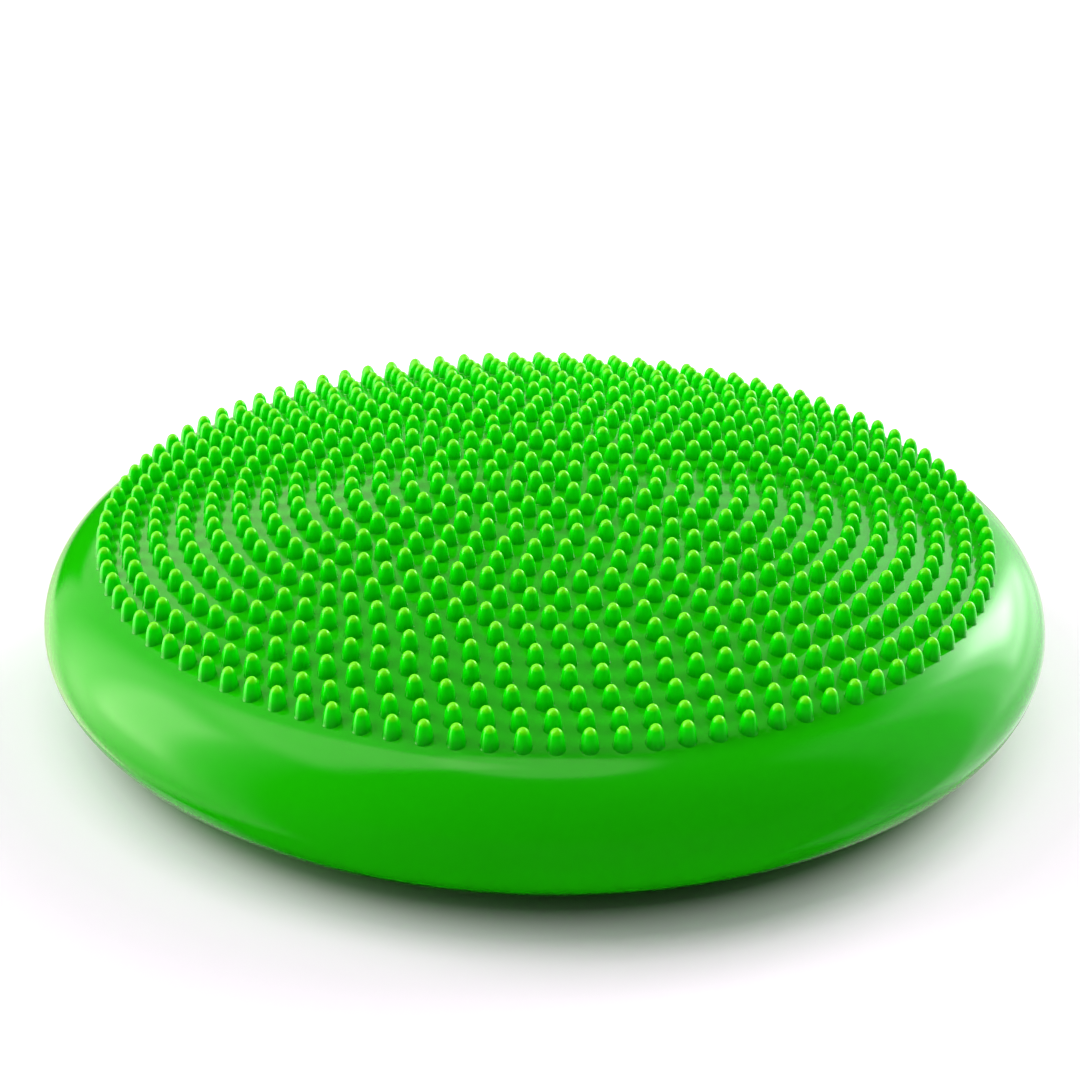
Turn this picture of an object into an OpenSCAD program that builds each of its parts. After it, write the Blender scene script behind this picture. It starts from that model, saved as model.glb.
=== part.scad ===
// Inflatable balance pad: a round air cushion of soft PVC with a domed, nubbed deck,
// a rolled rim and a flat foot. Free-standing, +Z up, origin at the middle of the foot.
// The air inside lets the deck roll over the foot, so the skin is cut into rings at the
// places where it stays stiff: the foot panel, the wall under the rim, the parting band
// at the widest place, the wall over the rim, and the deck panel with its nubs.
// The needle valve sits in the back of the wall, a little under the parting band.

/* [Cushion] */
// Widest diameter, over the rim
overall_d = 330; // [328:1:400]
// Height of the widest place above the floor
rim_z = 29.5; // [26:0.5:34]
// Height of the outer row of nubs' roots above the widest place
deck_rise = 25.2; // [18:0.1:30]
// Extra height of the deck's middle over its outer row of nubs
crown_rise = 18.6; // [8:0.1:22]
// How evenly the deck is domed (2 is a parabola)
crown_power = 2.19; // [1.8:0.01:3]
// Depth of the rolled rim under the widest place, as a half axis
under_depth = 22.7; // [18:0.1:26]
// Thickness of the moulded skin
skin = 3; // [1.6:0.1:3]

/* [Nubs] */
// Rings of nubs around the middle one (each ring has six more nubs than the last)
nub_rings = 16; // [6:1:16]
// Distance from ring to ring
nub_pitch = 9.115; // [8.5:0.005:9.115]
// Radius of the outermost ring
nub_edge_r = 144.4; // [143:0.1:145]
// Height of a nub over the skin
nub_h = 6.3; // [4:0.1:9]
// Diameter of a nub's root
nub_root_d = 5.6; // [3:0.1:6]
// Diameter of a nub's tip
nub_tip_d = 3.4; // [1.5:0.1:4]

/* [Valve] */
// Height of the valve's axis above the floor
valve_z = 18; // [17:0.5:19]
// Diameter of the moulded seat on the outside
seat_d = 15; // [14:0.5:16]
// Diameter of the rubber valve's barrel
barrel_d = 6.4; // [6:0.1:7]
// Diameter of the hole that the pump needle goes through
needle_d = 2.4; // [2:0.1:3]

/* [Hidden] */
$fn = 96;
gap = 0.35;              // room between rings of skin that belong to different moving parts
R = overall_d / 2;

// The rim is two half ellipses that share a radial half axis. The half axis is the one
// that lets the upper ellipse run on into the dome with the same slope.
dome_slope = crown_rise * crown_power / nub_edge_r;
drop_in = R - nub_edge_r;
function slope_error(a) = let (u = 1 - drop_in / a) deck_rise * u / (a * (1 - u * u)) - dome_slope;
function solve_a(lo, hi, n) = n == 0 ? (lo + hi) / 2 :
    let (mid = (lo + hi) / 2) slope_error(mid) > 0 ? solve_a(lo, mid, n - 1) : solve_a(mid, hi, n - 1);
roll_a = solve_a(drop_in + 0.5, drop_in + 40, 40);
roll_c = R - roll_a;
join_u = 1 - drop_in / roll_a;
roll_top = deck_rise / sqrt(1 - join_u * join_u);
join_deg = acos(join_u);

// The rim runs down to the foot's curve, which then flattens out to the floor.
foot_join_deg = -59.2;
foot_join_r = roll_c + roll_a * cos(foot_join_deg);
foot_join_z = rim_z + under_depth * sin(foot_join_deg);
foot_slope = under_depth * cos(foot_join_deg) / (-roll_a * sin(foot_join_deg));
flat_r = foot_join_r - 2 * foot_join_z / foot_slope;

function dome_z(r) = rim_z + deck_rise + crown_rise * (1 - pow(r / nub_edge_r, crown_power));
function dome_n(r) = let (s = r <= 0 ? 0 : crown_rise * crown_power / nub_edge_r * pow(r / nub_edge_r, crown_power - 1))
    [s, 1] / norm([s, 1]);
function roll_p(a) = [roll_c + roll_a * cos(a), rim_z + (a >= 0 ? roll_top : under_depth) * sin(a)];
function roll_n(a) = let (v = [cos(a) / roll_a, sin(a) / (a >= 0 ? roll_top : under_depth)]) v / norm(v);
function foot_z(r) = r <= flat_r ? 0 : foot_slope / 2 / (foot_join_r - flat_r) * pow(r - flat_r, 2);
function foot_n(r) = let (s = r <= flat_r ? 0 : foot_slope * (r - flat_r) / (foot_join_r - flat_r)) [s, -1] / norm([s, -1]);

// Points of the rim from one angle to another, at a given depth below the surface
function roll_line(a0, a1, n, t = 0) = [for (i = [0:n]) let (a = a0 + (a1 - a0) * i / n) roll_p(a) - t * roll_n(a)];
// Points of the foot's curve from one radius to another, at a given depth
function foot_line(r0, r1, n, t = 0) = [for (i = [0:n]) let (r = r0 + (r1 - r0) * i / n) [r, foot_z(r)] - t * foot_n(r)];
function tail(v) = [for (i = [1:len(v) - 1]) v[i]];
function back(v) = [for (i = [len(v) - 1:-1:0]) v[i]];

// Places where the rings of skin meet
deck_cut = 64;                             // deck panel to upper wall, an angle on the rim
foot_cut = 128;                            // foot panel to lower wall, a radius
band_half = 1.1;                           // half height of the parting band
upper_cut = asin((band_half + gap) / roll_top);
lower_cut = -asin((band_half + gap) / under_depth);

// The valve's axis leaves the wall at right angles
valve_deg = asin((valve_z - rim_z) / under_depth);
valve_p = roll_p(valve_deg);
valve_n = roll_n(valve_deg);
valve_tilt = atan2(valve_n[1], valve_n[0]);
barrel_back = skin + 7;                    // the barrel's inner end, measured in from the wall's surface
lip_t = 0.9;

// Puts a shape drawn on +Z onto the valve's axis, with z = 0 at the wall's outer surface
module on_valve() {
    translate([0, valve_p[0], valve_p[1]]) rotate([valve_tilt - 90, 0, 0]) children();
}

// ---- foot: the flat that stands on the floor, and the start of its curve up to the rim
module foot_panel() {
    color([0.16, 0.70, 0.10])
    rotate_extrude() polygon(concat(
        [[0, 0]],
        foot_line(flat_r, foot_cut, 6),
        back(foot_line(flat_r, foot_cut, 6, skin)),
        [[0, skin]]));
}

// ---- lower wall: the soft half of the cushion's side, under the parting band
module lower_wall() {
    color([0.18, 0.74, 0.12])
    difference() {
        rotate_extrude() polygon(concat(
            foot_line(foot_cut, foot_join_r, 4),
            tail(roll_line(foot_join_deg, lower_cut, 16)),
            back(tail(roll_line(foot_join_deg, lower_cut, 16, skin))),
            back(foot_line(foot_cut, foot_join_r, 4, skin))));
        on_valve() cylinder(d = seat_d - 3, h = 40, center = true);
    }
}

// ---- valve seat: the thicker moulded disc in the wall, with a hole for the barrel
module valve_seat() {
    color([0.14, 0.66, 0.10])
    on_valve() difference() {
        union() {
            translate([0, 0, -skin - 1.6]) cylinder(d = seat_d - 3, h = skin + 1.6);
            cylinder(d1 = seat_d - 3, d2 = seat_d - 4.5, h = 0.5);
            translate([0, 0, -barrel_back + 1.5]) cylinder(d = barrel_d + 3, h = barrel_back - 1.5);
        }
        translate([0, 0, -barrel_back]) cylinder(d = barrel_d, h = barrel_back + 1);
    }
}

// ---- valve barrel: the rubber plug with the needle hole
module valve_barrel() {
    color([0.12, 0.12, 0.12])
    on_valve() difference() {
        union() {
            translate([0, 0, -barrel_back]) cylinder(d = barrel_d, h = barrel_back + 0.6);
            translate([0, 0, 0.5]) cylinder(d1 = barrel_d + 2, d2 = barrel_d + 1.2, h = 0.6);
        }
        translate([0, 0, -barrel_back - 1]) cylinder(d = needle_d, h = barrel_back + 4);
    }
}

// ---- valve lips: two rubber flaps behind the barrel that close the needle hole
module lip(side) {
    on_valve() translate([0, 0, -barrel_back - gap]) intersection() {
        translate([0, 0, -lip_t]) cylinder(d = barrel_d, h = lip_t);
        translate([side > 0 ? 0.15 : -10.15, -10, -5]) cube([10, 20, 10]);
    }
}
module lip_left() { color([0.15, 0.15, 0.15]) lip(-1); }
module lip_right() { color([0.15, 0.15, 0.15]) lip(1); }

// ---- parting band: the ring at the widest place, where the two halves of the mould met
module parting_band() {
    color([0.16, 0.70, 0.10])
    rotate_extrude() polygon(concat(
        [for (i = [-2:2]) let (h = band_half * i / 2, b = h >= 0 ? roll_top : under_depth)
            [roll_c + roll_a * sqrt(1 - pow(h / b, 2)), rim_z + h]],
        [[R - skin - 0.8, rim_z + band_half], [R - skin - 0.8, rim_z - band_half]]));
}

// ---- upper wall: the soft half of the rolled rim over the parting band
module upper_wall() {
    color([0.18, 0.74, 0.12])
    rotate_extrude() polygon(concat(roll_line(upper_cut, deck_cut, 16), back(roll_line(upper_cut, deck_cut, 16, skin))));
}

// ---- deck panel: the dome that carries the nubs, out to the plain shoulder
module deck_panel() {
    n = 28;
    color([0.20, 0.76, 0.14])
    rotate_extrude() polygon(concat(
        [for (i = [0:n]) let (r = nub_edge_r * i / n) [r, dome_z(r)]],
        tail(roll_line(join_deg, deck_cut, 3)),
        back(tail(roll_line(join_deg, deck_cut, 3, skin))),
        [for (i = [n:-1:1]) let (r = nub_edge_r * i / n) [r, dome_z(r)] - skin * dome_n(r)],
        [[0, dome_z(0) - skin]]));
}

// ---- massage nubs: one in the middle and six more in every ring; all stand upright
function ring_r(k) = k == 0 ? 0 : k == nub_rings ? nub_edge_r : min(k * nub_pitch, nub_edge_r - 5);
// Where the first nub of each ring stands, in degrees from +X
function ring_start(k) = [0, 5.8, 27.8, 17.9, 14.5, 6.3, 6.4, 7.8, 1.1, 0.35, 0.95, 5.4, 3.7, 1.3, 0.2, 3.2, 1.53][k];
module nub(k, i) {
    sink = 0.5;
    rotate([0, 0, ring_start(k) + i * 60 / max(1, k)])
        translate([ring_r(k), 0, dome_z(ring_r(k)) - sink])
            cylinder(d1 = nub_root_d, d2 = nub_tip_d, h = nub_h + sink, $fn = 24);
}
// A flat load on the dome rests on these: the middle nub, and every fourth one of every fourth ring
function bears(k, i) = k % 4 == 0 && i % 4 == 0;
module bearing_nubs() {
    color([0.10, 0.80, 0.05])
    for (k = [0:nub_rings], i = [0:max(1, 6 * k) - 1]) if (bears(k, i)) nub(k, i);
}
// All the other nubs, of the same shape
module massage_nubs() {
    color([0.10, 0.80, 0.05])
    for (k = [0:nub_rings], i = [0:max(1, 6 * k) - 1]) if (!bears(k, i)) nub(k, i);
}

foot_panel();
lower_wall();
valve_seat();
valve_barrel();
lip_left();
lip_right();
parting_band();
upper_wall();
deck_panel();
bearing_nubs();
massage_nubs();
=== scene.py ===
import math

import bmesh
import bpy
import numpy as np
from mathutils import Matrix, Vector


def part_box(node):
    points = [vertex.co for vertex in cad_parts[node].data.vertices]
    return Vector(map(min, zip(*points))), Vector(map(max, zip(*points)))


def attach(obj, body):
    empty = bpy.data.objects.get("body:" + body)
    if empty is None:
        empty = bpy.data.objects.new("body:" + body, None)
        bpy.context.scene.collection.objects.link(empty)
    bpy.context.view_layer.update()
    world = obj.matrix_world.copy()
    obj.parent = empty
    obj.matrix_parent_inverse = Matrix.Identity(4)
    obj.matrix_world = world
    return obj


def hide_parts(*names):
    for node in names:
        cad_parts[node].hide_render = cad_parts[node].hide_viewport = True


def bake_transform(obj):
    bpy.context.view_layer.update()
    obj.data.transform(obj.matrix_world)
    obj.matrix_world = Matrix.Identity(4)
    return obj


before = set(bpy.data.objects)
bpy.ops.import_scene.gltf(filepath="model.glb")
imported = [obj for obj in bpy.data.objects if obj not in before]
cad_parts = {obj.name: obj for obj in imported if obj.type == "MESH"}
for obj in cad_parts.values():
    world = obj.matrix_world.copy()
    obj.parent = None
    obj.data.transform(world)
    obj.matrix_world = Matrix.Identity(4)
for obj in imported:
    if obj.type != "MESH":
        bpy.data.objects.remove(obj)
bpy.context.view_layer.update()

scene = bpy.context.scene
MM = 0.001

# ---------------------------------------------------------------- the frame's own numbers
band_lo, band_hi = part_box("parting_band")
R = band_hi[0] / MM                                # widest radius
RIM_Z = (band_lo[2] + band_hi[2]) / 2 / MM         # height of the widest place
BAND = (band_hi[2] - band_lo[2]) / 2 / MM
DECK_LO, DECK_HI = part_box("deck_panel")
FOOT_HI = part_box("foot_panel")[1]
NUB_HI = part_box("bearing_nubs")[1]
TOP_Z = DECK_HI[2] / MM                            # skin at the middle of the dome
NUB_H = NUB_HI[2] / MM - TOP_Z
SKIN = 3.0
NUB_EDGE_R = 144.4
CROWN_RISE = 18.6
CROWN_POWER = 2.19
DECK_RISE = TOP_Z - CROWN_RISE - RIM_Z
UNDER = 22.7
FOOT_CUT = FOOT_HI[0] / MM
NUB_PITCH = 9.115
NUB_RINGS = 16

# ---------------------------------------------------------------- outline of the cushion
slope = CROWN_RISE * CROWN_POWER / NUB_EDGE_R
drop = R - NUB_EDGE_R
lo, hi = drop + 0.5, drop + 40
for _ in range(60):
    mid = (lo + hi) / 2
    u = 1 - drop / mid
    if DECK_RISE * u / (mid * (1 - u * u)) > slope:
        hi = mid
    else:
        lo = mid
A = (lo + hi) / 2
C = R - A
u = 1 - drop / A
TOP_B = DECK_RISE / math.sqrt(1 - u * u)
JOIN = math.degrees(math.acos(u))
FOOT_JOIN = -59.2
FJ_R = C + A * math.cos(math.radians(FOOT_JOIN))
FJ_Z = RIM_Z + UNDER * math.sin(math.radians(FOOT_JOIN))
FJ_S = UNDER * math.cos(math.radians(FOOT_JOIN)) / (-A * math.sin(math.radians(FOOT_JOIN)))
FLAT_R = FJ_R - 2 * FJ_Z / FJ_S
DECK_CUT = 64.0
UP_CUT = math.degrees(math.asin(BAND / TOP_B))
LOW_CUT = -math.degrees(math.asin(BAND / UNDER))


def dome(r):
    """Point and outward normal of the dome at radius r."""
    r = np.asarray(r, float)
    z = RIM_Z + DECK_RISE + CROWN_RISE * (1 - (r / NUB_EDGE_R) ** CROWN_POWER)
    s = slope * (r / NUB_EDGE_R) ** (CROWN_POWER - 1)
    k = np.hypot(s, 1)
    return np.stack([r, z], -1), np.stack([s / k, 1 / k], -1)


def roll(a):
    """Point and normal of the rolled rim at angle a in degrees, 0 at the widest place."""
    t = np.radians(np.asarray(a, float))
    b = np.where(t >= 0, TOP_B, UNDER)
    n = np.stack([np.cos(t) / A, np.sin(t) / b], -1)
    return (
        np.stack([C + A * np.cos(t), RIM_Z + b * np.sin(t)], -1),
        n / np.linalg.norm(n, axis=-1, keepdims=True),
    )


def foot(r):
    """Point and normal of the foot at radius r: flat, then rising to the rim."""
    r = np.asarray(r, float)
    out = np.maximum(r - FLAT_R, 0)
    s = FJ_S * out / (FJ_R - FLAT_R)
    z = FJ_S / 2 / (FJ_R - FLAT_R) * out**2
    k = np.hypot(s, 1)
    return np.stack([r, z], -1), np.stack([s / k, -1 / k], -1)


def join(*parts):
    """Stretches of outline end to end, without doubled points."""
    p = np.concatenate([x[0] for x in parts])
    n = np.concatenate([x[1] for x in parts])
    keep = np.r_[True, np.linalg.norm(np.diff(p, axis=0), axis=1) > 1e-4]
    return p[keep], n[keep]


def steps(a, b, n, tight=0.02):
    """n steps from a to b, with a very narrow one at each end, so that pieces shade alike where they meet."""
    t = np.r_[0, tight / n, np.arange(1, n) / n, 1 - tight / n, 1]
    return a + (b - a) * t


# ---------------------------------------------------------------- mesh helpers
def new_object(name, verts, faces, smooth=True, sharp=()):
    mesh = bpy.data.meshes.new(name)
    mesh.from_pydata((np.asarray(verts) * MM).tolist(), [], faces)
    mesh.validate()
    mesh.polygons.foreach_set("use_smooth", [smooth] * len(mesh.polygons))
    if len(sharp):
        marks = set(sharp)
        flags = [tuple(sorted(e.vertices)) in marks for e in mesh.edges]
        att = mesh.attributes.get("sharp_edge") or mesh.attributes.new("sharp_edge", "BOOLEAN", "EDGE")
        att.data.foreach_set("value", flags)
    mesh.update()
    obj = bpy.data.objects.new(name, mesh)
    scene.collection.objects.link(obj)
    return obj


def lathe(name, outline, n=432, thick=SKIN):
    """A closed ring or bowl of skin: the outline turned round Z, and the same a skin's thickness further in."""
    p, nn = outline
    inner = p - thick * nn
    inner[:, 0] = np.maximum(inner[:, 0], 0)
    loop = np.concatenate([p, inner[::-1]])
    m = len(p)
    ang = 2 * np.pi * np.arange(n) / n
    cs, sn = np.cos(ang), np.sin(ang)
    verts, index = [], []
    for r, z in loop:
        if r < 1e-6:
            index.append([len(verts)] * n)
            verts.append((0, 0, z))
        else:
            index.append(list(range(len(verts), len(verts) + n)))
            verts.extend(zip(r * cs, r * sn, [z] * n))
    faces, sharp = [], []
    rows = len(loop)
    pole = p[0][0] < 1e-6 or p[-1][0] < 1e-6
    for k in range(rows):
        nxt = (k + 1) % rows
        a, b = index[k], index[nxt]
        if a[0] == a[1] and b[0] == b[1]:
            continue
        for i in range(n):
            j = (i + 1) % n
            if a[0] == a[1]:
                faces.append((a[0], b[i], b[j]))
            elif b[0] == b[1]:
                faces.append((a[i], b[0], a[j]))
            else:
                faces.append((a[i], b[i], b[j], a[j]))
    for k in (0, m - 1, m, rows - 1):
        ring = index[k]
        if ring[0] != ring[1]:
            sharp += [tuple(sorted((ring[i], ring[(i + 1) % n]))) for i in range(n)]
    obj = new_object(name, verts, faces, sharp=sharp)
    bm_normals(obj)
    return obj


def bm_normals(obj):
    """Faces turned to point out."""
    bm = bmesh.new()
    bm.from_mesh(obj.data)
    bmesh.ops.recalc_face_normals(bm, faces=bm.faces)
    bm.to_mesh(obj.data)
    bm.free()
    obj.data.update()


# ---------------------------------------------------------------- skin
foot_skin = lathe("foot_skin", join(foot(np.r_[0, np.linspace(4, FLAT_R, 28)]), foot(steps(FLAT_R, FOOT_CUT, 14))))
lower_skin = lathe(
    "lower_wall_skin",
    join(foot(steps(FOOT_CUT, FJ_R, 14)), roll(steps(FOOT_JOIN, LOW_CUT, 44))),
)
band_skin = lathe("parting_band_skin", join(roll(steps(LOW_CUT, 0, 3)), roll(steps(0, UP_CUT, 3))), thick=SKIN + 0.8)
upper_skin = lathe("upper_wall_skin", roll(steps(UP_CUT, DECK_CUT, 48)))
deck_skin = lathe(
    "deck_skin",
    join(dome(np.r_[0, np.linspace(2, NUB_EDGE_R, 90)]), roll(steps(JOIN, DECK_CUT, 8))),
)

# ---------------------------------------------------------------- nubs
START = [0, 5.8, 27.8, 17.9, 14.5, 6.3, 6.4, 7.8, 1.1, 0.35, 0.95, 5.4, 3.7, 1.3, 0.2, 3.2, 1.53]


def skin_z(r):
    """Height of the dome or the shoulder at radius r."""
    r = np.asarray(r, float)
    on_dome = dome(np.minimum(r, NUB_EDGE_R))[0][..., 1]
    on_roll = RIM_Z + TOP_B * np.sqrt(np.maximum(1 - ((r - C) / A) ** 2, 0))
    return np.where(r <= NUB_EDGE_R, on_dome, on_roll)


# height over the skin and radius, from the hidden root up over the small fillet to the rounded tip
NUB = np.array(
    [
        (-0.50, 2.66), (-0.10, 3.02), (0.02, 2.95), (0.14, 2.87), (0.45, 2.79), (1.1, 2.71), (1.9, 2.60), (2.7, 2.47),
        (3.45, 2.31), (4.1, 2.14), (4.65, 1.95), (5.1, 1.74), (5.48, 1.48), (5.80, 1.17), (6.04, 0.82), (6.21, 0.44),
    ]
) * [NUB_H / 6.3, 1]


def nubs(name, segs=20):
    ang = 2 * np.pi * np.arange(segs) / segs
    verts, faces, tip = [], [], []
    for ring in range(NUB_RINGS + 1):
        rr = 0 if ring == 0 else NUB_EDGE_R if ring == NUB_RINGS else ring * NUB_PITCH
        for i in range(max(1, 6 * ring)):
            th = math.radians(START[ring] + i * 60 / max(1, ring))
            cx, cy = rr * math.cos(th), rr * math.sin(th)
            cz = float(skin_z(rr))
            base = len(verts)
            for h, rad in NUB:
                x, y = cx + rad * np.cos(ang + th), cy + rad * np.sin(ang + th)
                follow = max(0.0, 1 - max(h, 0) / 1.8) ** 2
                z = follow * skin_z(np.hypot(x, y)) + (1 - follow) * cz + h
                verts.extend(zip(x, y, z))
                tip += [h / NUB_H] * segs
            verts.append((cx, cy, cz + NUB_H))
            tip.append(1.0)
            rows = len(NUB)
            for q in range(rows - 1):
                a = base + q * segs
                for s in range(segs):
                    t = (s + 1) % segs
                    faces.append((a + s, a + t, a + segs + t, a + segs + s))
            a = base + (rows - 1) * segs
            for s in range(segs):
                faces.append((a + s, a + (s + 1) % segs, len(verts) - 1))
            faces.append(tuple(base + s for s in range(segs - 1, -1, -1)))
    obj = new_object(name, verts, faces)
    att = obj.data.attributes.new("tip", "FLOAT", "POINT")
    att.data.foreach_set("value", np.clip(tip, 0, 1).astype(np.float32))
    return obj


nub_piece = nubs("massage_nub_field")

# ---------------------------------------------------------------- valve
VALVE_Z = 18.0
valve_at, valve_n = roll(math.degrees(math.asin((VALVE_Z - RIM_Z) / UNDER)))


def on_valve(p):
    """Local points (x, y across the valve, z outward) to the frame."""
    p = np.asarray(p, float)
    ny, nz = float(valve_n[0]), float(valve_n[1])
    return np.stack(
        [p[:, 0], float(valve_at[0]) + p[:, 1] * nz + p[:, 2] * ny, float(valve_at[1]) - p[:, 1] * ny + p[:, 2] * nz], -1
    )


def turned(name, loop, n=64, crisp=()):
    """A closed outline (radius, height) turned round the valve's axis."""
    ang = 2 * np.pi * np.arange(n) / n
    verts = np.concatenate([np.stack([r * np.cos(ang), r * np.sin(ang), np.full(n, z)], -1) for r, z in loop])
    k = len(loop)
    faces = [
        (a * n + i, a * n + (i + 1) % n, (a + 1) % k * n + (i + 1) % n, (a + 1) % k * n + i)
        for a in range(k)
        for i in range(n)
    ]
    sharp = [tuple(sorted((a * n + i, a * n + (i + 1) % n))) for a in crisp for i in range(n)]
    obj = new_object(name, on_valve(verts), faces, sharp=sharp)
    bm_normals(obj)
    return obj


seat_piece = turned(
    "valve_collar",
    [
        (3.2, -8.5), (4.5, -8.5), (4.7, -8.3), (4.7, -4.6), (5.9, -4.6), (6.0, -4.5), (6.0, -0.25), (5.97, 0.02),
        (5.86, 0.22), (5.66, 0.37), (5.4, 0.46), (5.1, 0.5), (4.2, 0.5), (3.5, 0.5), (3.3, 0.46), (3.2, 0.34),
    ],
    crisp=(0, 2, 3, 4),
)
plug_piece = turned(
    "valve_plug",
    [
        (1.2, -10.0), (3.05, -10.0), (3.2, -9.85), (3.2, 0.42), (3.2, 0.52), (4.05, 0.52), (4.19, 0.6), (4.17, 0.76),
        (4.05, 0.92), (3.82, 1.04), (3.5, 1.1), (2.6, 1.1), (1.95, 1.08), (1.6, 0.99), (1.35, 0.8), (1.22, 0.5), (1.2, 0.1),
    ],
    crisp=(0, 1, 4, 5),
)
# the wall is open where the collar goes through it
drill = turned("drill", [(0.001, -20), (5.0, -20), (5.0, 12), (0.001, 12)], n=48)
cut = lower_skin.modifiers.new("hole", "BOOLEAN")
cut.operation = "DIFFERENCE"
cut.solver = "EXACT"
cut.object = drill
bpy.context.view_layer.update()
whole = lower_skin.data
lower_skin.data = bpy.data.meshes.new_from_object(lower_skin.evaluated_get(bpy.context.evaluated_depsgraph_get()))
lower_skin.modifiers.clear()
bpy.data.meshes.remove(whole)
lower_skin.data.name = "lower_wall_skin"
bpy.data.objects.remove(drill)
bm = bmesh.new()
bm.from_mesh(lower_skin.data)
for e in bm.edges:
    if len(e.link_faces) == 2 and e.calc_face_angle() > 0.6:
        e.smooth = False
bm.to_mesh(lower_skin.data)
bm.free()

# ---------------------------------------------------------------- materials
def node_material(name):
    m = bpy.data.materials.new(name)
    m.use_nodes = True
    nt = m.node_tree
    nt.nodes.clear()
    out = nt.nodes.new("ShaderNodeOutputMaterial")
    bsdf = nt.nodes.new("ShaderNodeBsdfPrincipled")
    nt.links.new(bsdf.outputs[0], out.inputs[0])
    return m, nt, bsdf


def add_bump(nt, bsdf, scales, strength, distance):
    """Very fine moulded grain over a slow waviness, in object space."""
    coord = nt.nodes.new("ShaderNodeTexCoord")
    total = None
    for scale, amount in scales:
        noise = nt.nodes.new("ShaderNodeTexNoise")
        noise.inputs["Scale"].default_value = scale
        noise.inputs["Detail"].default_value = 2.0
        nt.links.new(coord.outputs["Object"], noise.inputs["Vector"])
        mul = nt.nodes.new("ShaderNodeMath")
        mul.operation = "MULTIPLY"
        mul.inputs[1].default_value = amount
        nt.links.new(noise.outputs["Fac"], mul.inputs[0])
        if total is None:
            total = mul
        else:
            add = nt.nodes.new("ShaderNodeMath")
            add.operation = "ADD"
            nt.links.new(total.outputs[0], add.inputs[0])
            nt.links.new(mul.outputs[0], add.inputs[1])
            total = add
    bump = nt.nodes.new("ShaderNodeBump")
    bump.inputs["Strength"].default_value = strength
    bump.inputs["Distance"].default_value = distance
    nt.links.new(total.outputs[0], bump.inputs["Height"])
    nt.links.new(bump.outputs[0], bsdf.inputs["Normal"])
    return coord


def tinted(nt, bsdf, coord, dark, light, scale):
    """Base colour that drifts a little between two greens, as dyed vinyl does."""
    noise = nt.nodes.new("ShaderNodeTexNoise")
    noise.inputs["Scale"].default_value = scale
    noise.inputs["Detail"].default_value = 3.0
    nt.links.new(coord.outputs["Object"], noise.inputs["Vector"])
    ramp = nt.nodes.new("ShaderNodeValToRGB")
    ramp.color_ramp.elements[0].position = 0.3
    ramp.color_ramp.elements[1].position = 0.7
    ramp.color_ramp.elements[0].color = (*dark, 1)
    ramp.color_ramp.elements[1].color = (*light, 1)
    nt.links.new(noise.outputs["Fac"], ramp.inputs["Fac"])
    return ramp


GREEN_D = (0.007, 0.425, 0.0)
GREEN_L = (0.009, 0.455, 0.001)
# painted glow: the nubs are the skin's own vinyl, given a much lighter base colour to stand in for light shining
# through them
NUB_PAINTED_GLOW_D = (0.002, 0.73, 0.000)
NUB_PAINTED_GLOW_L = (0.003, 0.79, 0.001)

skin_mat, nt, bsdf = node_material("green_vinyl")
coord = add_bump(nt, bsdf, [(18.0, 0.4), (1300.0, 0.018)], 0.35, 0.0004)
ramp = tinted(nt, bsdf, coord, GREEN_D, GREEN_L, 9.0)
nt.links.new(ramp.outputs[0], bsdf.inputs["Base Color"])
bsdf.inputs["Roughness"].default_value = 0.09
bsdf.inputs["Specular IOR Level"].default_value = 0.25

nub_mat, nt, bsdf = node_material("green_vinyl_nubs")
coord = add_bump(nt, bsdf, [(700.0, 1.0)], 0.10, 0.0001)
ramp = tinted(nt, bsdf, coord, NUB_PAINTED_GLOW_D, NUB_PAINTED_GLOW_L, 9.0)
tip = nt.nodes.new("ShaderNodeAttribute")
tip.attribute_name = "tip"
# painted light: the base colour is darker at the roots as painted shade where the nubs shade each other, and lighter
# towards the tips as painted glow of light through the thin vinyl
painted_root_shade = nt.nodes.new("ShaderNodeValToRGB")
el = painted_root_shade.color_ramp.elements
for _ in range(3):
    el.new(0.5)
for e, (at, level) in zip(el, [(0.0, 0.50), (0.10, 0.62), (0.36, 0.90), (0.60, 1.0), (1.0, 1.0)]):
    e.position = at
    e.color = (level, level, level, 1)
nt.links.new(tip.outputs["Fac"], painted_root_shade.inputs["Fac"])
shade = nt.nodes.new("ShaderNodeMix")
shade.data_type = "RGBA"
shade.blend_type = "MULTIPLY"
shade.inputs[0].default_value = 1.0
nt.links.new(ramp.outputs[0], shade.inputs[6])
nt.links.new(painted_root_shade.outputs[0], shade.inputs[7])
# painted glow: the top of each nub turns to a light yellow-green base colour
painted_tip_glow = nt.nodes.new("ShaderNodeMapRange")
painted_tip_glow.interpolation_type = "SMOOTHSTEP"
painted_tip_glow.inputs["From Min"].default_value = 0.70
painted_tip_glow.inputs["From Max"].default_value = 0.97
nt.links.new(tip.outputs["Fac"], painted_tip_glow.inputs["Value"])
mix = nt.nodes.new("ShaderNodeMix")
mix.data_type = "RGBA"
mix.inputs[7].default_value = (0.16, 0.85, 0.004, 1)
nt.links.new(painted_tip_glow.outputs[0], mix.inputs[0])
nt.links.new(shade.outputs[2], mix.inputs[6])
nt.links.new(mix.outputs[2], bsdf.inputs["Base Color"])
bsdf.inputs["Roughness"].default_value = 0.13
bsdf.inputs["Specular IOR Level"].default_value = 0.32

rubber_mat, nt, bsdf = node_material("valve_rubber")
coord = add_bump(nt, bsdf, [(1500.0, 1.0)], 0.25, 0.0001)
ramp = tinted(nt, bsdf, coord, (0.018, 0.019, 0.018), (0.032, 0.033, 0.031), 300.0)
nt.links.new(ramp.outputs[0], bsdf.inputs["Base Color"])
bsdf.inputs["Roughness"].default_value = 0.55

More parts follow.
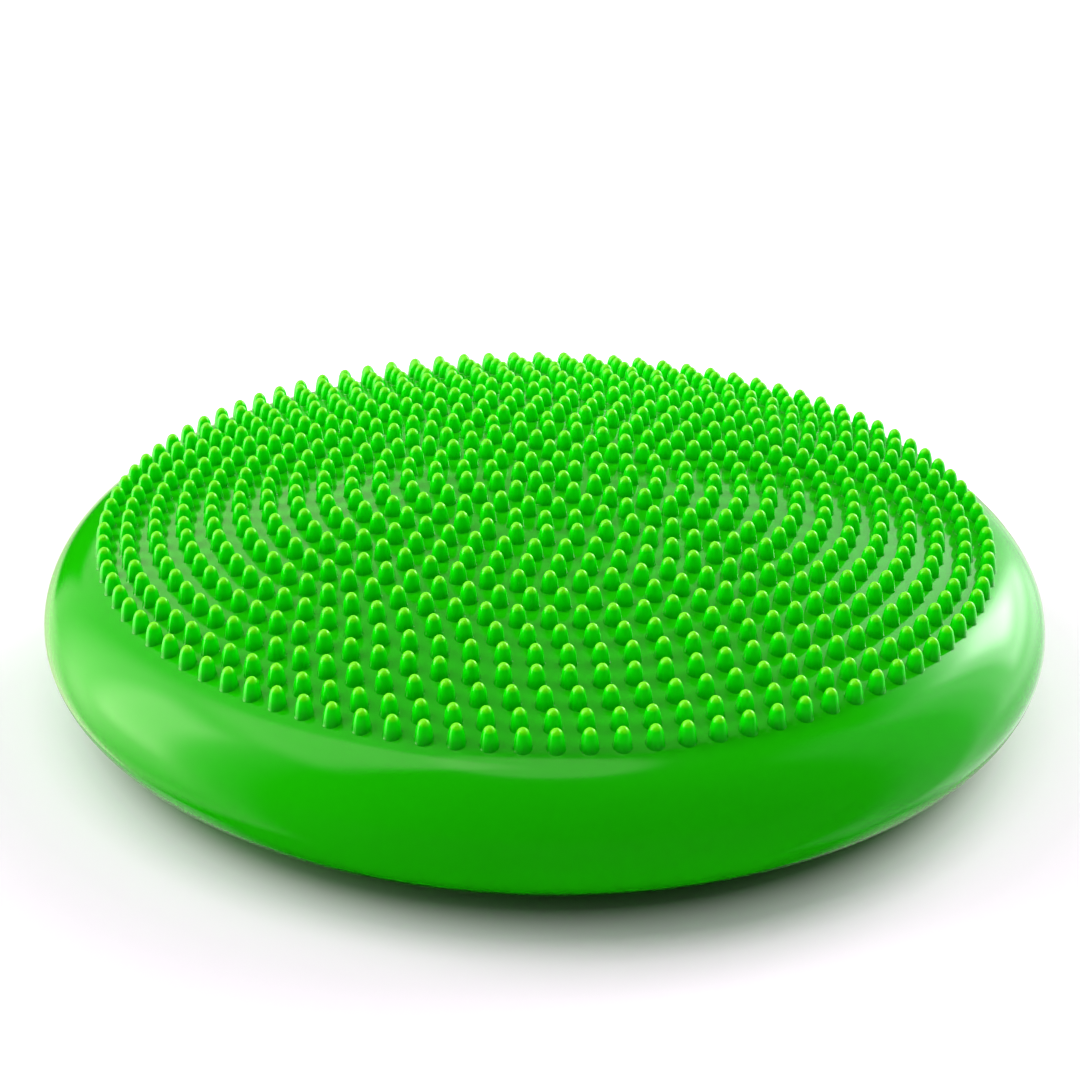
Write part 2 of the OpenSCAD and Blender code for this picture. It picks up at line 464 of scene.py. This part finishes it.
for o, m in (
    (foot_skin, skin_mat), (lower_skin, skin_mat), (band_skin, skin_mat), (upper_skin, skin_mat),
    (deck_skin, skin_mat), (nub_piece, nub_mat),
):
    o.data.materials.append(m)

seat_piece.data.materials.append(skin_mat)
plug_piece.data.materials.append(rubber_mat)
for node, m in (("lip_left", rubber_mat), ("lip_right", rubber_mat)):
    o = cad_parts[node]
    if not o.material_slots:
        o.data.materials.append(m)
    for s in o.material_slots:
        s.material = m

# ---------------------------------------------------------------- what moves with what
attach(foot_skin, "base")
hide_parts("foot_panel")
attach(seat_piece, "base")
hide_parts("valve_seat")
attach(plug_piece, "base")
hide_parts("valve_barrel")
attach(band_skin, "rim")
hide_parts("parting_band")
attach(deck_skin, "deck")
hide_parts("deck_panel")
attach(nub_piece, "deck")
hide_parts("massage_nubs", "bearing_nubs")
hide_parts("lower_wall")
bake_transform(lower_skin)
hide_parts("upper_wall")
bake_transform(upper_skin)

# ---------------------------------------------------------------- floor
floor = new_object("floor", [(-4000, -4000, 0), (4000, -4000, 0), (4000, 4000, 0), (-4000, 4000, 0)], [(0, 1, 2, 3)], smooth=False)
floor_mat, nt, bsdf = node_material("floor_white")
bsdf.inputs["Roughness"].default_value = 0.9
bsdf.inputs["Specular IOR Level"].default_value = 0.0
bsdf.inputs["Emission Color"].default_value = (1, 1, 1, 1)
coord = nt.nodes.new("ShaderNodeTexCoord")
far = nt.nodes.new("ShaderNodeVectorMath")
far.operation = "LENGTH"
nt.links.new(coord.outputs["Object"], far.inputs[0])


def by_distance(stops, curve="B_SPLINE"):
    """A value that follows the distance from the middle of the floor, in mm."""
    span = nt.nodes.new("ShaderNodeMapRange")
    span.inputs["From Min"].default_value = 0.1
    span.inputs["From Max"].default_value = 0.3
    nt.links.new(far.outputs["Value"], span.inputs["Value"])
    ramp = nt.nodes.new("ShaderNodeValToRGB")
    ramp.color_ramp.interpolation = curve
    el = ramp.color_ramp.elements
    while len(el) < len(stops):
        el.new(0.5)
    for e, (mm, colour) in zip(el, stops):
        e.position = (mm - 100) / 200
        e.color = (*colour, 1)
    nt.links.new(span.outputs[0], ramp.inputs["Fac"])
    return ramp.outputs[0]


# painted shadow and painted light on the floor: its base colour is dark green under and round the object, lightening
# to a slightly pink white further out, and its glow, seen only by the camera, stops under the object and rises
# outwards
nt.links.new(
    by_distance([(135, (0.13, 0.34, 0.10)), (144, (0.30, 0.44, 0.27)), (150, (0.60, 0.58, 0.57)), (158, (0.92, 0.86, 0.915)), (200, (0.955, 0.87, 0.955))]),
    bsdf.inputs["Base Color"],
)
# painted light: a glow on the floor, seen only by the camera, low next to the object and stronger further out
painted_glow_stops = [
    (143, 0.0), (148, 0.065), (152, 0.11), (156, 0.14), (161, 0.14), (165, 0.10), (169, 0.055), (176, 0.03),
    (186, 0.015), (200, 0.03), (230, 0.06), (299, 0.26),
]
painted_floor_glow = by_distance([(mm, (v, v, v)) for mm, v in painted_glow_stops], "LINEAR")
side = nt.nodes.new("ShaderNodeVectorMath")    # a little more painted glow at the two sides than in front
side.operation = "NORMALIZE"
nt.links.new(coord.outputs["Object"], side.inputs[0])
parts = nt.nodes.new("ShaderNodeSeparateXYZ")
nt.links.new(side.outputs[0], parts.inputs[0])
square = nt.nodes.new("ShaderNodeMath")
square.operation = "MULTIPLY"
nt.links.new(parts.outputs[0], square.inputs[0])
nt.links.new(parts.outputs[0], square.inputs[1])
spread = nt.nodes.new("ShaderNodeMath")
spread.operation = "MULTIPLY_ADD"
spread.inputs[1].default_value = 0.75
spread.inputs[2].default_value = 0.70
nt.links.new(square.outputs[0], spread.inputs[0])
table = nt.nodes.new("ShaderNodeMath")
table.operation = "MULTIPLY"
nt.links.new(painted_floor_glow, table.inputs[0])
nt.links.new(spread.outputs[0], table.inputs[1])
path = nt.nodes.new("ShaderNodeLightPath")
seen = nt.nodes.new("ShaderNodeMath")
seen.operation = "MULTIPLY"
nt.links.new(table.outputs[0], seen.inputs[0])
nt.links.new(path.outputs["Is Camera Ray"], seen.inputs[1])
nt.links.new(seen.outputs[0], bsdf.inputs["Emission Strength"])
floor.data.materials.append(floor_mat)

# ---------------------------------------------------------------- light
class Sky:
    """Soft light written as patches of azimuth (0 towards -Y, +90 towards +X) and elevation, in degrees."""

    def __init__(self, nt, vector):
        self.nt = nt
        sep = nt.nodes.new("ShaderNodeSeparateXYZ")
        nt.links.new(vector, sep.inputs[0])
        self.azim = self.math("DEGREES", self.math("ARCTAN2", sep.outputs[0], self.math("MULTIPLY", sep.outputs[1], -1)))
        self.elev = self.math("DEGREES", self.math("ARCSINE", sep.outputs[2]))
        self.round = self.math("ABSOLUTE", self.azim)

    def math(self, op, a, b=None):
        n = self.nt.nodes.new("ShaderNodeMath")
        n.operation = op
        for i, v in enumerate((a, b)):
            if v is None:
                continue
            if isinstance(v, (int, float)):
                n.inputs[i].default_value = v
            else:
                self.nt.links.new(v, n.inputs[i])
        return n.outputs[0]

    def rise(self, v, a, b):
        """0 before a, 1 after b, smooth between; b may be under a."""
        n = self.nt.nodes.new("ShaderNodeMapRange")
        n.interpolation_type = "SMOOTHSTEP"
        n.inputs["From Min"].default_value = min(a, b)
        n.inputs["From Max"].default_value = max(a, b)
        n.inputs["To Min"].default_value = 0 if b > a else 1
        n.inputs["To Max"].default_value = 1 if b > a else 0
        self.nt.links.new(v, n.inputs["Value"])
        return n.outputs[0]

    def patch(self, a0, a1, e0, e1, da, de, around=False):
        """1 between two azimuths and two elevations, 0 outside, with soft edges."""
        az = self.round if around else self.azim
        m = self.math("MULTIPLY", self.rise(az, a0 - da / 2, a0 + da / 2), self.rise(az, a1 + da / 2, a1 - da / 2))
        m = self.math("MULTIPLY", m, self.rise(self.elev, e0 - de / 2, e0 + de / 2))
        return self.math("MULTIPLY", m, self.rise(self.elev, e1 + de / 2, e1 - de / 2))

    def sum(self, table, tag):
        total = None
        for name, (shape, level) in table.items():
            part = self.math("MULTIPLY", self.patch(*shape), level)
            part.node.name = tag + name
            total = part if total is None else self.math("ADD", total, part)
        return total


# the light that falls on things
GLOW = {
    "left_wall": ((-150, -60, -90, 72, 12, 10), 0.85),
    "left_box": ((-122, -78, -90, 38, 22, 22), 8.8),
    "right_wall": ((110, 160, -90, 46, 8, 10), 5.4),
    "right_box": ((124, 149, 6, 35, 10, 10), 6.4),
    "right_fade": ((50, 112, -90, 55, 20, 16), 0.8),
    "back_wall": ((151, 200, -90, 70, 10, 10, True), 0.1),
    "ceiling": ((-200, 200, 75, 100, 1, 5), 5.6),
    "front": ((-60, 50, 8, 70, 12, 12), 0.2),
}
# what the gloss mirrors: warm cards on the left, over and behind, cooler ones on the right
MIRROR_WARM = {
    "left_wall": ((-152, -64, -44, 76, 16, 12), 0.8),
    "left_box": ((-124, -78, -20, 48, 20, 26), 2.0),
    "left_hot": ((-108, -84, -8, 38, 12, 14), 3.2),
    "left_low": ((-172, -130, -64, -8, 10, 8), 0.55),
    "left_top": ((-118, -58, 48, 86, 16, 12), 2.0),
    "back_wall": ((150, 200, 12, 72, 6, 8, True), 0.55),
    "back_left": ((-172, -150, 18, 38, 8, 10), 0.8),
    "back_low": ((158, 200, -64, 14, 10, 6, True), 0.5),
    "ceiling": ((-200, 200, 77.5, 100, 1, 5), 1.8),
}
MIRROR_COOL = {
    "back_right": ((152, 173, 18, 40, 8, 10), 0.6),
    "right_wall": ((104, 160, -42, 46, 10, 10), 1.1),
    "right_mid": ((112, 150, -12, 40, 8, 12), 1.1),
    "right_box": ((122, 147, 2, 38, 6, 10), 2.8),
    "right_hot": ((129, 143, 14, 32, 9, 10), 7.0),
    "right_low": ((112, 172, -64, -30, 10, 12), 0.3),
    "right_fade": ((78, 108, -52, 56, 16, 16), 0.5),
    "air": ((-400, 400, -100, 100, 1, 1), 0.004),
}

world = bpy.data.worlds.new("studio")
scene.world = world
world.use_nodes = True
world.cycles_visibility.glossy = False
nt = world.node_tree
nt.nodes.clear()
wout = nt.nodes.new("ShaderNodeOutputWorld")
coord = nt.nodes.new("ShaderNodeTexCoord")
sky = Sky(nt, coord.outputs["Generated"])
bg = nt.nodes.new("ShaderNodeBackground")
nt.links.new(sky.sum(GLOW, "sky_"), bg.inputs["Strength"])
white = nt.nodes.new("ShaderNodeBackground")
white.inputs["Strength"].default_value = 1.0
white.inputs["Color"].default_value = (1, 1, 1, 1)
path = nt.nodes.new("ShaderNodeLightPath")
mixw = nt.nodes.new("ShaderNodeMixShader")
nt.links.new(path.outputs["Is Camera Ray"], mixw.inputs[0])
nt.links.new(bg.outputs[0], mixw.inputs[1])
nt.links.new(white.outputs[0], mixw.inputs[2])
nt.links.new(mixw.outputs[0], wout.inputs[0])

# a tent of white cards all round, seen only in the gloss
nlat, nlon = 24, 48
tent_v = [
    (5000 * math.cos(math.radians(e)) * math.cos(t), 5000 * math.cos(math.radians(e)) * math.sin(t), 5000 * math.sin(math.radians(e)))
    for e in np.linspace(-89.9, 89.9, nlat + 1)
    for t in 2 * np.pi * np.arange(nlon) / nlon
]
tent_f = [
    (i * nlon + j, i * nlon + (j + 1) % nlon, (i + 1) * nlon + (j + 1) % nlon, (i + 1) * nlon + j)
    for i in range(nlat)
    for j in range(nlon)
]
tent = new_object("light_tent", tent_v, tent_f)
tent_mat = bpy.data.materials.new("light_tent")
tent_mat.use_nodes = True
tent_mat.cycles.emission_sampling = "NONE"
nt = tent_mat.node_tree
nt.nodes.clear()
tout = nt.nodes.new("ShaderNodeOutputMaterial")
coord = nt.nodes.new("ShaderNodeTexCoord")
unit = nt.nodes.new("ShaderNodeVectorMath")
unit.operation = "NORMALIZE"
nt.links.new(coord.outputs["Object"], unit.inputs[0])
sky = Sky(nt, unit.outputs[0])
spot = sky.math("SUBTRACT", 1.0, sky.patch(-160, -141, -9, 14, 5, 5))
both = nt.nodes.new("ShaderNodeAddShader")
for i, (table, colour) in enumerate(((MIRROR_WARM, (1.08, 1.0, 0.80, 1)), (MIRROR_COOL, (1.0, 1.0, 1.0, 1)))):
    emit = nt.nodes.new("ShaderNodeEmission")
    emit.inputs["Color"].default_value = colour
    nt.links.new(sky.math("MULTIPLY", sky.sum(table, "card_"), spot), emit.inputs["Strength"])
    nt.links.new(emit.outputs[0], both.inputs[i])
nt.links.new(both.outputs[0], tout.inputs[0])
tent.data.materials.append(tent_mat)
tent.visible_camera = False
tent.visible_diffuse = False
tent.visible_transmission = False
tent.visible_volume_scatter = False
tent.visible_shadow = False
floor.visible_glossy = False
# the floor in the object's own shade, seen only in the gloss: dark in the middle, lighter towards its edge
rim_pts = [(168 * math.cos(t), 168 * math.sin(t), 0.05) for t in 2 * np.pi * np.arange(96) / 96]
shade_disc = new_object("floor_shade", rim_pts, [tuple(range(96))], smooth=False)
shade_mat, nt, bsdf = node_material("floor_shade")
bsdf.inputs["Base Color"].default_value = (0.01, 0.02, 0.01, 1)
bsdf.inputs["Roughness"].default_value = 1.0
bsdf.inputs["Specular IOR Level"].default_value = 0.0
bsdf.inputs["Emission Color"].default_value = (1.0, 1.0, 0.9, 1)
coord = nt.nodes.new("ShaderNodeTexCoord")
far = nt.nodes.new("ShaderNodeVectorMath")
far.operation = "LENGTH"
nt.links.new(coord.outputs["Object"], far.inputs[0])
edge_glow = by_distance([(mm, (v, v, v)) for mm, v in ((137, 0.0), (143, 0.10), (150, 0.30), (158, 0.50), (168, 0.55))], "LINEAR")
parts = nt.nodes.new("ShaderNodeSeparateXYZ")
nt.links.new(coord.outputs["Object"], parts.inputs[0])
behind = nt.nodes.new("ShaderNodeMapRange")
behind.interpolation_type = "SMOOTHSTEP"
behind.inputs["From Min"].default_value = -0.135
behind.inputs["From Max"].default_value = -0.110
nt.links.new(parts.outputs[1], behind.inputs["Value"])
soft = nt.nodes.new("ShaderNodeMath")
soft.operation = "MULTIPLY"
nt.links.new(edge_glow, soft.inputs[0])
nt.links.new(behind.outputs[0], soft.inputs[1])
nt.links.new(soft.outputs[0], bsdf.inputs["Emission Strength"])
shade_mat.cycles.emission_sampling = "NONE"
shade_disc.data.materials.append(shade_mat)
shade_disc.visible_camera = False
shade_disc.visible_diffuse = False
shade_disc.visible_transmission = False
shade_disc.visible_volume_scatter = False
shade_disc.visible_shadow = False


def fill(name, at, size, power):
    """A large diffuser that gives soft light and no highlight of its own."""
    data = bpy.data.lights.new(name, "AREA")
    data.shape = "DISK"
    data.size = size
    data.energy = power
    obj = bpy.data.objects.new(name, data)
    scene.collection.objects.link(obj)
    obj.location = at
    obj.rotation_euler = (Vector((0, 0, 0.04)) - Vector(at)).to_track_quat("-Z", "Y").to_euler()
    obj.visible_camera = False
    obj.visible_glossy = False
    return obj


fill("fill_top", (0, 0.1, 1.9), 1.6, 4.0)
scene.view_settings.view_transform = "Standard"

# ---------------------------------------------------------------- camera
cam_data = bpy.data.cameras.new("camera")
cam_data.sensor_fit = "HORIZONTAL"
cam_data.sensor_width = 36.0
cam_data.lens = 90.162
cam_data.clip_start = 0.01
cam_data.clip_end = 60
cam = bpy.data.objects.new("camera", cam_data)
scene.collection.objects.link(cam)
right = Vector((0.99985941, 0.00912328, 0.01406867))
up = Vector((-0.01662199, 0.42884425, 0.90322551))
look = Vector((-0.00220711, 0.90333237, -0.42893561))
cam.matrix_world = Matrix(
    (
        (right.x, up.x, -look.x, 0.0),
        (right.y, up.y, -look.y, -0.808617),
        (right.z, up.z, -look.z, 0.434924),
        (0, 0, 0, 1),
    )
)
scene.camera = cam
